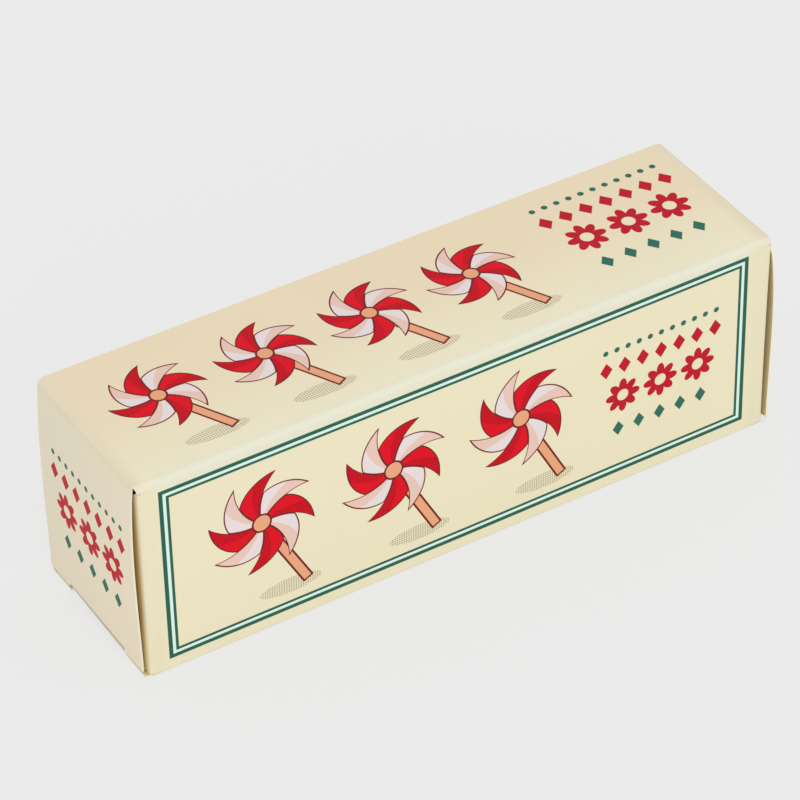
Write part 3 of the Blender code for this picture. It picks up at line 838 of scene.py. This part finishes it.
class BALLGAME_OT_carton_sleeve(bpy.types.Operator):
    """Fold the long panels and the glue seam from one strip of printed board"""
    bl_idname = "ballgame.carton_sleeve"
    bl_label = "Carton sleeve"

    def execute(self, context):
        sizes = context.scene.ball_game_carton
        r, front_r = sizes.fold_radius, sizes.front_radius
        corners = [(GLUE_TIP, GLUE_FACE), (HALF_WIDTH, GLUE_FACE), (HALF_WIDTH, 0.0), (-HALF_WIDTH, 0.0),
                   (-HALF_WIDTH, HEIGHT), (HALF_WIDTH + sizes.top_overhang, HEIGHT)]
        stops = [even(GLUE_STATIONS), 1 - self.wall_stops(r, GLUE_FACE - r)[::-1],
                 notch_stops(HALF_WIDTH - r, sizes.notch_width / 2),
                 self.wall_stops(r, HEIGHT - front_r), self.top_stops(sizes)]
        points, normals, lengths, folds, legs = folded_path(corners, [r, r, r, front_r], stops)
        ends = np.array([[self.end(p, leg, fold, k, sizes) for k in (0, 1)]
                         for p, leg, fold in zip(points, legs, folds)])
        shares = np.linspace(-1.0, 1.0, SLEEVE_COLUMNS)
        x = np.where(shares < 0, ends[:, :1], ends[:, 1:]) * shares
        swell = self.swell(lengths, legs, folds, sizes)[:, None] * (1 - shares ** 2) ** 2
        outer = grid(x, points[:, :1] + normals[:, :1] * swell, points[:, 1:] + normals[:, 1:] * swell)
        across = grid(0.0, normals[:, :1], normals[:, 1:])
        middles = np.array([np.interp(0, *self.rising(points, lengths, legs, leg)) for leg in range(5)])
        middle = middles[legs[1:]]
        turn = np.where(np.array(legs[1:]) == BACK_LEG, -1, 1)[:, None]
        places = [grid(turn * x[rows], turn * (lengths[rows] - middle)[:, None]) / MM
                  for rows in (slice(-1), slice(1, None))]
        piece = board_sheet("carton_sleeve", outer, across, np.stack(places, axis=1),
                            self.wear_and_painted_highlight(points, lengths, folds), ["front_print", "top_print", "bare_print"],
                            [LEG_PRINT[leg] for leg in legs[1:]])
        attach(piece, "carton")
        stand_for(piece, "printed_board",
                  "top_panel", "front_panel", "back_panel", "bottom_panel", "glue_flap")
        return {"FINISHED"}

    def rising(self, points, lengths, legs, leg):
        """A panel's places across its own middle, in rising order, and the running lengths there."""
        member = [i for i, number in enumerate(legs) if number == leg]
        across = points[member, 1] - HEIGHT / 2 if leg in (BACK_LEG, FRONT_LEG) else points[member, 0]
        order = np.argsort(across)
        return across[order], lengths[member][order]

    def wall_stops(self, low, high):
        """Stations up a side wall, paired where the dust flaps' cuts begin and end."""
        heights = [low, *np.linspace(low + WALL_SLIT, DUST_HIGH - 3 * MM, WALL_STATIONS)]
        heights += [DUST_HIGH - 2 * MM, DUST_HIGH - MM, DUST_HIGH, DUST_HIGH + WALL_SLIT, high]
        return (np.array(heights) - low) / (high - low)

    def top_stops(self, sizes):
        """Stations across the top, paired where the end creases begin."""
        low, high = -HALF_WIDTH + sizes.front_radius, HALF_WIDTH + sizes.top_overhang
        starts = sorted(-HALF_WIDTH + slack for slack in sizes.closure_front)
        places = [low] + [start + step for start in starts for step in (-WALL_SLIT / 2, WALL_SLIT / 2)]
        places += list(np.linspace(starts[-1] + 1.5 * MM, high, PANEL_STATIONS))
        return (np.array(places) - low) / (high - low)

    def end(self, point, leg, fold, k, sizes):
        """Half the sleeve's length at a station of its section, at the left or the right end."""
        y, z = point
        if leg < BACK_LEG:
            return SIDE_END - GLUE_INSET - max(HALF_WIDTH - sizes.fold_radius - y, 0.0) * GLUE_SLANT
        tabs = HALF_LENGTH + sizes.bottom_reach[k] + sizes.closure_twist[k] * (y / HALF_WIDTH + 1) / 2
        if fold > 0 and z < HEIGHT / 2:
            foot = SIDE_END + sizes.dust_push[k] - (sizes.dust_radius[k] - sizes.dust_pinch[k]) / 2
            return foot + (tabs - foot) * (HALF_WIDTH - abs(y)) / sizes.fold_radius
        if fold > 0:
            return CORNER_REACH[k] - CORNER_SLANT[k] * (HALF_WIDTH - abs(y)) / sizes.front_radius
        if leg == BOTTOM_LEG:
            share = min(abs(y) / (sizes.notch_width / 2), 1.0)
            return tabs - sizes.notch_depth * math.sqrt(1 - share * share)
        if leg == TOP_LEG:
            hung = y > -HALF_WIDTH + sizes.closure_front[k]
            crease = HALF_LENGTH - sizes.end_radius + sizes.closure_head[k]
            return crease if hung else CORNER_REACH[k] - CORNER_SLANT[k]
        return DUST_START if z < DUST_HIGH + WALL_SLIT / 2 else CORNER_REACH[k]

    def wear_and_painted_highlight(self, points, lengths, folds):
        """How rubbed and how paled by a painted highlight each station is: fully along the front fold, a
        little along the others.
        """
        crease = lengths[(folds > 0) & (points[:, 0] < 0) & (points[:, 1] > HEIGHT / 2)]
        away = np.abs(lengths - crease.mean()) - (crease[-1] - crease[0]) / 2
        return np.maximum(np.exp(-(np.clip(away, 0, None) / WEAR_AND_HIGHLIGHT_REACH) ** 2), folds * FOLD_WEAR_AND_HIGHLIGHT)

    def swell(self, lengths, legs, folds, sizes):
        """How far each station of the section bows outwards at the middle of its length."""
        bow = np.zeros(len(lengths))
        for leg in (BACK_LEG, FRONT_LEG, TOP_LEG):
            member = [i for i, number in enumerate(legs) if number == leg and folds[i] == 0]
            run = lengths[member]
            bow[member] = sizes.panel_bow * np.sin(math.pi * (run - run[0]) / (run[-1] - run[0])) ** 2
        return bow


class BALLGAME_OT_end_closures(bpy.types.Operator):
    """Hang an end panel with its tuck flap at each end of the top"""
    bl_idname = "ballgame.end_closures"
    bl_label = "End closures"

    columns = 61
    flare_height = 4.0 * MM
    # Where panel and tuck flap meet, and the crease below, whose ends sink onto the bottom's tabs
    joint_height = 3.2 * MM
    crease_lift = 1.2 * MM
    droop_depth = 2.0 * MM
    droop_step = 1.0 * MM
    tab_gap = 0.04 * MM
    # The tuck flap's outline
    flap_length = 12.0 * MM
    flap_inset = 1.0 * MM
    flap_taper = 1.2 * MM
    flap_corner = 7.0 * MM
    flap_straight = 0.35

    def execute(self, context):
        sizes = context.scene.ball_game_carton
        for k, (word, side) in enumerate(ENDS):
            self.closure(word, side, k, sizes)
            self.tuck(word, side, k, sizes)
        return {"FINISHED"}

    def sheet(self, name, path, middle, side, k, sizes, finish, narrow=0.0):
        """A sheet across the carton, on a path of lengths and heights, narrowed at both sides."""
        points, normals, lengths, folds, _ = path
        front, back = (self.spans(points[:, 1], k, sizes) + grid(narrow, -narrow)).T[..., None]
        y = front + (back - front) * even(self.columns)
        x = side * (points[:, :1] + self.out(points[:, 1:], k, sizes))
        outer = grid(x, y, points[:, 1:] - self.droop(points, y, sizes.notch_width / 2))
        across = grid(side * normals[:, :1], 0.0, normals[:, 1:])
        places = bands(-y, (middle - lengths)[:, None])
        return board_sheet(name, outer, across, places, folds * CREASE_WEAR_AND_HIGHLIGHT, [finish])

    def droop(self, points, y, half_notch):
        """How far a sheet's lower corners hang onto the bottom's tabs, beside the thumb notch."""
        drop = self.joint_height - BOARD - self.crease_lift
        low = np.clip((self.joint_height - points[:, 1:]) / drop, 0, 1)
        near = np.clip(1 - (HALF_LENGTH - points[:, :1]) / self.droop_depth, 0, 1)
        behind, before = (y - half_notch) / self.droop_step, (half_notch - y) / (2 * half_notch)
        sunk = np.clip(np.maximum(behind, before), 0, 1)
        return (self.crease_lift - self.tab_gap) * low * near * sunk

    def closure(self, word, side, k, sizes):
        r = sizes.end_radius
        corners = [(HALF_LENGTH - r, HEIGHT), (HALF_LENGTH, HEIGHT), (HALF_LENGTH, self.joint_height)]
        path = folded_path(corners, [r], [[0.0], even(PANEL_STATIONS)])
        middle = np.interp(HEIGHT / 2, path[0][::-1, 1], path[2][::-1])
        piece = self.sheet(word + "_end_closure", path, middle, side, k, sizes, "end_print")
        stand_for(piece, "printed_board", word + "_end_panel")
        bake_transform(piece)

    def out(self, z, k, sizes):
        """How far an end panel stands out across its width at some heights."""
        shares = even(self.columns)
        lean = sizes.closure_lean[k] + sizes.closure_twist[k] * shares
        bulge = 1 - EDGE_HOLD * (2 * shares - 1) ** 2
        return sizes.closure_head[k] + stand_out(z, lean, sizes.closure_bow[k]) * bulge

    def spans(self, z, k, sizes):
        """The front and back edges of an end panel at some heights."""
        share = np.clip((HEIGHT - sizes.closure_square[k] - z) / self.flare_height, 0, 1)
        front = -HALF_WIDTH + sizes.closure_front[k] - sizes.closure_flare[k] * soft_step(share)
        front += sizes.closure_hollow[k] * np.sin(math.pi * np.clip(z / HEIGHT, 0, 1))
        return grid(front, HALF_WIDTH - CLOSURE_SLACK)

    def tuck(self, word, side, k, sizes):
        low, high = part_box(word + "_tuck_flap")
        reach = high.x - low.x
        rise = math.asin((high.z - low.z - BOARD) / self.flap_length)
        end = (HALF_LENGTH - reach, TUCK_FOOT + reach * math.tan(rise))
        corners = [(HALF_LENGTH, self.joint_height), (HALF_LENGTH, BOARD + self.crease_lift), end]
        straight = self.flap_straight
        curved = straight + (1 - straight) * np.sin(even(9) * math.pi / 2)
        flap = [*np.linspace(0, straight, 4)[:-1], *curved]
        path = folded_path(corners, [sizes.tuck_radius], [even(3), flap])
        inward, corner = HALF_LENGTH - path[0][:, 0], self.flap_corner
        round_off = np.clip(inward - (reach - corner), 0, corner)
        narrow = np.clip(inward / self.flap_taper, 0, 1) * self.flap_inset
        narrow = narrow + corner - np.sqrt(corner ** 2 - round_off ** 2)
        piece = self.sheet(word + "_tuck", path, path[2][1], side, k, sizes, "tuck_print", narrow)
        stand_for(piece, "printed_board", word + "_tuck_flap")
        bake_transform(piece)


class BALLGAME_OT_dust_flaps(bpy.types.Operator):
    """Fold the four dust flaps in from the ends of the side walls"""
    bl_idname = "ballgame.dust_flaps"
    bl_label = "Dust flaps"

    columns = 29
    foot_slant = 0.1
    # A flap closes up to the end panel by press; the crease's spring and the flap's own push fade out
    press = 0.2 * MM
    crease_reach = 0.8 * MM
    push_reach = 4.0 * MM

    def execute(self, context):
        sizes = context.scene.ball_game_carton
        for k, (word, side) in enumerate(ENDS):
            for wall_word, wall in (("front", -1), ("back", 1)):
                self.flap(word + "_" + wall_word + "_dust", side, wall, k, sizes)
        return {"FINISHED"}

    def flap(self, name, side, wall, k, sizes):
        low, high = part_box(name + "_flap")
        shares = even(self.columns)
        radii = sizes.dust_radius[k] - sizes.dust_pinch[k] * (2 * shares - 1) ** 2
        paths = [self.path(high.y - low.y, r) for r in radii]
        points, normals, lengths, folds = (np.stack([path[i] for path in paths], axis=1) for i in range(4))
        beyond = np.clip(HALF_WIDTH - points[..., 1] - radii, 0, None)
        middle = beyond[:, self.columns // 2]
        share = (points[..., 0] - DUST_START) / (SIDE_END - DUST_START)
        foot = np.minimum(sizes.fold_radius + WALL_SLIT + middle, DUST_LOW + middle * self.foot_slant)
        crease = np.clip(2 - 2 * (SIDE_END - points[:, -1, 0]) / radii[-1], 0, 1)
        head = DUST_HIGH - middle - HEAD_CUT * soft_step(crease)
        z = foot[:, None] + (head - foot)[:, None] * shares
        push = sizes.dust_push[k] + sizes.dust_fan[k] * (z / HEIGHT) ** 2
        panel = stand_out(z, sizes.closure_lean[k], sizes.closure_bow[k]) * (1 - EDGE_HOLD)
        held = np.minimum(sizes.closure_head[k] + panel + self.press, push + sizes.dust_follow[k])
        push = held + (push - held) * np.exp(-(beyond / self.crease_reach) ** 2)
        x = side * (points[..., 0] + push * share * np.exp(-(beyond / self.push_reach) ** 2))
        outer = grid(x, wall * points[..., 1], z)
        across = grid(side * normals[..., 0], wall * normals[..., 1], 0.0)
        wear_and_painted_highlight = folds[:, 0] * CREASE_WEAR_AND_HIGHLIGHT
        piece = board_sheet(name, outer, across, bands(lengths, z), wear_and_painted_highlight, ["flap_print"])
        stand_for(piece, "printed_board", name + "_flap")
        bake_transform(piece)

    def path(self, reach, r):
        """A flap's section: the wall's last strip, the crease and the flap itself."""
        corners = [(DUST_START, HALF_WIDTH), (SIDE_END, HALF_WIDTH), (SIDE_END, HALF_WIDTH - reach)]
        return folded_path(corners, [r], [even(2), even(FLAP_STATIONS)])


def arc(centre, radius, start, end, steps=ARC_STEPS):
    """Points of an arc in a plane, with angles in degrees."""
    turns = np.radians(np.linspace(start, end, steps + 1))
    return [(centre[0] + radius * math.cos(t), centre[1] + radius * math.sin(t)) for t in turns]


def turned(name, profile, place, finish, steps):
    """A turned piece: a profile of radius and height spun about its axis and closed."""
    bm = bmesh.new()
    turns = [math.tau * i / steps for i in range(steps)]
    rings = []
    for r, h in profile:
        if r < 1e-9:
            rings.append([bm.verts.new((0, 0, h))] * steps)
        else:
            rings.append([bm.verts.new((r * math.cos(t), r * math.sin(t), h)) for t in turns])
    hollow = profile[0][0] > 0
    for low, high in zip(rings, rings[1:] + rings[:1] if hollow else rings[1:]):
        for i in range(steps):
            j = (i + 1) % steps
            bm.faces.new(dict.fromkeys((low[i], low[j], high[j], high[i])))
    bmesh.ops.recalc_face_normals(bm, faces=bm.faces)
    bm.transform(place)
    mesh = bpy.data.meshes.new(name)
    bm.to_mesh(mesh)
    bm.free()
    outward_volume(mesh)
    return add_piece(name, mesh, [finish])


class BALLGAME_OT_blow_pipe(bpy.types.Operator):
    """Turn the bowl, hoop, stem and nozzle of the blow pipe"""
    bl_idname = "ballgame.blow_pipe"
    bl_label = "Blow pipe"

    bore = 1.8 * MM
    bore_edge = 0.4 * MM

    def execute(self, context):
        upright = Matrix.Translation((PIPE_AXIS.x, PIPE_AXIS.y, 0))
        self.hoop(upright)
        self.bowl(upright)
        self.nozzle(upright)
        self.stem()
        return {"FINISHED"}

    def fit(self, name, slot, node, profile, place, finish, steps):
        piece = turned(name, profile, place, finish, steps)
        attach(piece, "pipe")
        stand_for(piece, slot, node)

    def hoop(self, upright):
        low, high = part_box("hoop_ring")
        outside, inside, r = (high.x - low.x) / 2, HOOP_HOLE, 2.4 * MM
        profile = arc((outside - r, high.z - r), r, 90, 0) + arc((outside - r, low.z + r), r, 0, -90)
        profile += arc((inside + r, low.z + r), r, 270, 180) + arc((inside + r, high.z - r), r, 180, 90)
        self.fit("hoop", "red_paint", "hoop_ring", profile, upright, "red_gloss_paint", 96)

    def bowl(self, upright):
        """The bowl stands on its flange, which faces down in the carton."""
        low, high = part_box("pipe_bowl")
        rim, radius, r = (high.x - low.x) / 2, 13.5 * MM, 3.0 * MM
        face, shoulder, soft = low.z, low.z + 7.6 * MM, 6.5 * MM
        dish, sunk, fillet, lip = 12.0 * MM, 1.6 * MM, 1.2 * MM, 0.72 * MM
        profile = [(0.0, face + sunk)]
        profile += arc((dish - 2 * sunk, face + sunk * 2), sunk, -90, -60, 3)
        profile += arc((dish, face + lip), lip, 210, 270, 3)
        profile += arc((rim - r, face + r), r, -90, 0) + arc((rim - r, shoulder - r), r, 0, 90)
        profile += arc((radius + fillet, shoulder + fillet), fillet, 270, 180, 4)
        profile += arc((radius - soft, high.z - soft), soft, 0, 90) + [(0.0, high.z)]
        self.fit("bowl", "red_paint", "pipe_bowl", profile, upright, "red_gloss_paint", 128)

    def nozzle(self, upright):
        """The nozzle stands out of the dish, drilled right through."""
        low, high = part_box("air_nozzle")
        radius, r, edge = (high.x - low.x) / 2, 2.0 * MM, self.bore_edge
        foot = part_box("pipe_bowl")[0].z + 3.0 * MM
        profile = [(self.bore, foot), (radius, foot)] + arc((radius - r, low.z + r), r, 0, -90)
        profile += arc((self.bore + edge, low.z + edge), edge, 270, 180, 3)
        self.fit("nozzle", "bare_wood", "air_nozzle", profile, upright, "wood_upright", 64)

    def stem(self):
        """The stem leaves the bowl's side; its tip is rounded for the lips and drilled."""
        low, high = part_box("pipe_stem")
        radius, r, edge = (high.z - low.z) / 2, 2.6 * MM, self.bore_edge
        root = PIPE_AXIS.x + 12.0 * MM
        profile = [(self.bore, root), (radius, root)] + arc((radius - r, high.x - r), r, 0, 90)
        profile += arc((self.bore + edge, high.x - edge), edge, 90, 180, 3)
        lay = Matrix.Translation((0, STEM_AXIS.y, STEM_AXIS.z)) @ Matrix.Rotation(math.pi / 2, 4, "Y")
        self.fit("stem", "bare_wood", "pipe_stem", profile, lay, "wood_along_stem", 64)


# Geometry Nodes

class Growth(Graph):
    """A Geometry Nodes tree with named inputs, turned into a plain mesh when it is done."""

    kinds = {int: "NodeSocketInt", float: "NodeSocketFloat", tuple: "NodeSocketVector"}

    def __init__(self, name, **inputs):
        super().__init__(bpy.data.node_groups.new(name, "GeometryNodeTree"))
        sockets = self.tree.interface
        sockets.new_socket("Geometry", in_out="OUTPUT", socket_type="NodeSocketGeometry")
        self.values = {}
        for label, value in inputs.items():
            socket = sockets.new_socket(label, in_out="INPUT", socket_type=self.kinds[type(value)])
            self.values[socket.identifier] = value
        self.sizes = [self.node("NodeGroupInput", output=label) for label in inputs]

    def piece(self, name, geometry, finish):
        """Ends the tree and gives its result as one plain mesh object."""
        real = self.node("GeometryNodeRealizeInstances", {"Geometry": geometry})
        dressed = self.node("GeometryNodeSetMaterial", {"Geometry": real, "Material": material(finish)})
        self.node("NodeGroupOutput", {"Geometry": dressed})
        seed = bpy.data.objects.new(name + "_seed", bpy.data.meshes.new(name + "_seed"))
        modifier = seed.modifiers.new("Growth", "NODES")
        modifier.node_group = self.tree
        for identifier, value in self.values.items():
            modifier[identifier] = value
        bpy.context.scene.collection.objects.link(seed)
        graph = bpy.context.evaluated_depsgraph_get()
        mesh = bpy.data.meshes.new_from_object(seed.evaluated_get(graph))
        bpy.data.objects.remove(seed)
        if not mesh.polygons:
            raise RuntimeError(name + " came out empty")
        mesh.name = name
        mesh.materials.clear()
        return add_piece(name, mesh, [finish])


class BALLGAME_OT_hoop_slats(bpy.types.Operator):
    """Stand the slats that carry the hoop in a circle"""
    bl_idname = "ballgame.hoop_slats"
    bl_label = "Hoop slats"

    def execute(self, context):
        toy = context.scene.ball_game_toy
        low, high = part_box("hoop_slat_1")
        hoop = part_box("hoop_ring")
        tree = Growth("slat_circle", Slats=toy.slat_count, Width=toy.slat_width,
                      Thickness=toy.slat_thickness, Edge=toy.slat_edge, Foot=low.z, Head=high.z,
                      Circle=((hoop[1].x - hoop[0].x) / 2 + HOOP_HOLE) / 2, Start=math.radians(45.0),
                      Centre=(PIPE_AXIS.x, PIPE_AXIS.y, 0.0))
        count, width, thickness, edge, foot, head, circle, start, centre = tree.sizes
        section = tree.node("GeometryNodeCurvePrimitiveQuadrilateral",
                            {"Width": thickness, "Height": width}, mode="RECTANGLE")
        section = tree.node("GeometryNodeFilletCurve", {"Curve": section, "Radius": edge, "Count": 4},
                            mode="POLY")
        line = tree.node("GeometryNodeCurvePrimitiveLine",
                         {"Start": tree.join(0.0, 0.0, foot), "End": tree.join(0.0, 0.0, head)})
        slat = tree.node("GeometryNodeCurveToMesh",
                         {"Curve": line, "Profile Curve": section, "Fill Caps": True})
        spots = tree.node("GeometryNodeMeshLine", {"Count": count, "Offset": (0.0, 0.0, 0.0)})
        turn = tree.node("GeometryNodeInputIndex") * (math.tau / toy.slat_count) + start
        spot = tree.join(tree.math("COSINE", turn) * circle, tree.math("SINE", turn) * circle, 0.0)
        spots = tree.node("GeometryNodeSetPosition", {"Geometry": spots, "Position": spot})
        ring = tree.node("GeometryNodeInstanceOnPoints",
                         {"Points": spots, "Instance": slat, "Rotation": tree.join(0.0, 0.0, turn)})
        ring = tree.node("GeometryNodeTransform", {"Geometry": ring, "Translation": centre})
        piece = tree.piece("hoop_slats", ring, "wood_upright")
        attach(piece, "pipe")
        stand_for(piece, "bare_wood", "hoop_slat_1", "hoop_slat_2", "hoop_slat_3")
        return {"FINISHED"}


class BALLGAME_OT_foam_balls(bpy.types.Operator):
    """Mould the two foam balls from beads"""
    bl_idname = "ballgame.foam_balls"
    bl_label = "Foam balls"

    def execute(self, context):
        toy = context.scene.ball_game_toy
        for node in ("ball_1", "ball_2"):
            low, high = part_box(node)
            tree = Growth("bead_" + node, Radius=(high.x - low.x) / 2, Bead=toy.bead_size,
                          Groove=toy.bead_groove, Centre=tuple((low + high) / 2))
            radius, bead, groove, centre = tree.sizes
            ball = tree.node("GeometryNodeMeshIcoSphere", {"Radius": radius, "Subdivisions": 6})
            ball = tree.node("GeometryNodeTransform", {"Geometry": ball, "Translation": centre})
            place = tree.node("GeometryNodeInputPosition")
            seam = tree.node("ShaderNodeTexVoronoi", {"Vector": place, "Scale": 1 / bead},
                             feature="DISTANCE_TO_EDGE")
            dent = ramp(seam, 0.2, 0.0)
            offset = tree.node("ShaderNodeVectorMath", {"Vector": tree.node("GeometryNodeInputNormal"),
                                                        "Scale": dent * dent * groove * -1.0},
                               operation="SCALE")
            ball = tree.node("GeometryNodeSetPosition", {"Geometry": ball, "Offset": offset})
            piece = tree.piece("foam_" + node, ball, "white_bead_foam")
            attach(piece, node)
            stand_for(piece, "white_foam", node)
        return {"FINISHED"}


class BALLGAME_OT_stage(bpy.types.Operator):
    """Set the floor, the soft light and the camera"""
    bl_idname = "ballgame.stage"
    bl_label = "Stage"

    floor_half = 3.0
    floor_gap = 0.05 * MM
    # The floor's own light, how much more of it the camera sees and how much every ray sees
    glow_strength = 1.02
    glow_seen = 0.66
    glow_unseen = 0.14
    lamp_place = (-0.54, -1.8, 0.93)
    lamp_size = 1.3

    def execute(self, context):
        stage = context.scene.ball_game_stage
        context.scene.view_settings.view_transform = "Standard"
        self.floor(stage)
        self.sky(context.scene, stage)
        self.lamp(context.scene, stage)
        self.camera(context.scene, stage)
        return {"FINISHED"}

    def floor(self, stage):
        """A flat pale ground that keeps part of the object's shadow for the camera."""
        h = self.floor_half
        mesh = bpy.data.meshes.new("floor")
        mesh.from_pydata([(-h, -h, 0), (h, -h, 0), (h, h, 0), (-h, h, 0)], [], [(0, 1, 2, 3)])
        mesh.transform(Matrix.Translation((0, 0, -self.floor_gap)))
        finish = Finish("pale_floor", 0.0)
        finish.set("Roughness", 1.0)
        tone = finish.noise(finish.object_place(), 3.0)
        finish.set("Base Color", finish.shade(stage.backdrop, 0.995 + tone * 0.01))
        glow = finish.node("ShaderNodeEmission", {"Color": (*stage.backdrop, 1.0),
                                                  "Strength": self.glow_strength})
        seen = finish.node("ShaderNodeLightPath", output="Is Camera Ray")
        both = finish.node("ShaderNodeMixShader", {0: seen * self.glow_seen + self.glow_unseen, 2: glow,
                                                   1: Term(finish, finish.shader.outputs[0])})
        finish.feed(finish.tree.nodes["Material Output"].inputs["Surface"], both)
        floor = bpy.data.objects.new("floor", mesh)
        mesh.materials.append(finish.material)
        bpy.context.scene.collection.objects.link(floor)

    def sky(self, scene, stage):
        """Even light from all sides; the camera and reflections see the backdrop."""
        scene.world = bpy.data.worlds.new("soft_sky")
        scene.world.use_nodes = True
        graph = Graph(scene.world.node_tree)
        light = graph.tree.nodes["Background"]
        light.inputs["Color"].default_value = (1.0, 1.0, 1.0, 1.0)
        light.inputs["Strength"].default_value = stage.sky
        seen = graph.node("ShaderNodeBackground", {"Color": (*stage.backdrop, 1.0)})
        camera, glossy, through = (graph.node("ShaderNodeLightPath", output=f"Is {ray} Ray")
                                   for ray in ("Camera", "Glossy", "Transmission"))
        direct = graph.math("MAXIMUM", graph.math("MAXIMUM", camera, glossy), through)
        both = graph.node("ShaderNodeMixShader", {0: direct, 1: Term(graph, light.outputs[0]), 2: seen})
        graph.feed(graph.tree.nodes["World Output"].inputs["Surface"], both)

    def lamp(self, scene, stage):
        light = bpy.data.lights.new("key", "AREA")
        light.energy = stage.key
        light.size = self.lamp_size
        lamp = bpy.data.objects.new("key", light)
        lamp.location = self.lamp_place
        lamp.rotation_euler = (-lamp.location).to_track_quat("-Z", "Y").to_euler()
        scene.collection.objects.link(lamp)

    def camera(self, scene, stage):
        lens = bpy.data.cameras.new("camera")
        lens.sensor_width = 36.0
        lens.lens = stage.lens
        lens.clip_start = 0.01
        camera = bpy.data.objects.new("camera", lens)
        camera.location = CAMERA_PLACE
        camera.rotation_euler = [math.radians(a) for a in CAMERA_TURN]
        scene.collection.objects.link(camera)
        scene.camera = camera


OPERATORS = (BALLGAME_OT_carton_sleeve, BALLGAME_OT_end_closures, BALLGAME_OT_dust_flaps,
             BALLGAME_OT_blow_pipe, BALLGAME_OT_hoop_slats, BALLGAME_OT_foam_balls, BALLGAME_OT_stage)
SETTINGS = {"ball_game_carton": CartonSettings, "ball_game_print": PrintSettings,
            "ball_game_toy": ToySettings, "ball_game_stage": StageSettings}


class BALLGAME_PT_sidebar(bpy.types.Panel):
    """Lists the steps that dress the boxed ball game"""
    bl_idname = "BALLGAME_PT_sidebar"
    bl_label = "Boxed ball game"
    bl_space_type = "VIEW_3D"
    bl_region_type = "UI"
    bl_category = "Ball Game"

    def draw(self, context):
        for operator in OPERATORS:
            self.layout.operator(operator.bl_idname)


CLASSES = (*SETTINGS.values(), *OPERATORS, BALLGAME_PT_sidebar)


def register():
    for cls in CLASSES:
        bpy.utils.register_class(cls)
    for name, group in SETTINGS.items():
        setattr(bpy.types.Scene, name, PointerProperty(type=group))


def unregister():
    for name in SETTINGS:
        delattr(bpy.types.Scene, name)
    for cls in reversed(CLASSES):
        bpy.utils.unregister_class(cls)


def main():
    register()
    bpy.ops.ballgame.carton_sleeve()
    bpy.ops.ballgame.end_closures()
    bpy.ops.ballgame.dust_flaps()
    bpy.ops.ballgame.blow_pipe()
    bpy.ops.ballgame.hoop_slats()
    bpy.ops.ballgame.foam_balls()
    bpy.ops.ballgame.stage()


if __name__ == "__main__":
    main()
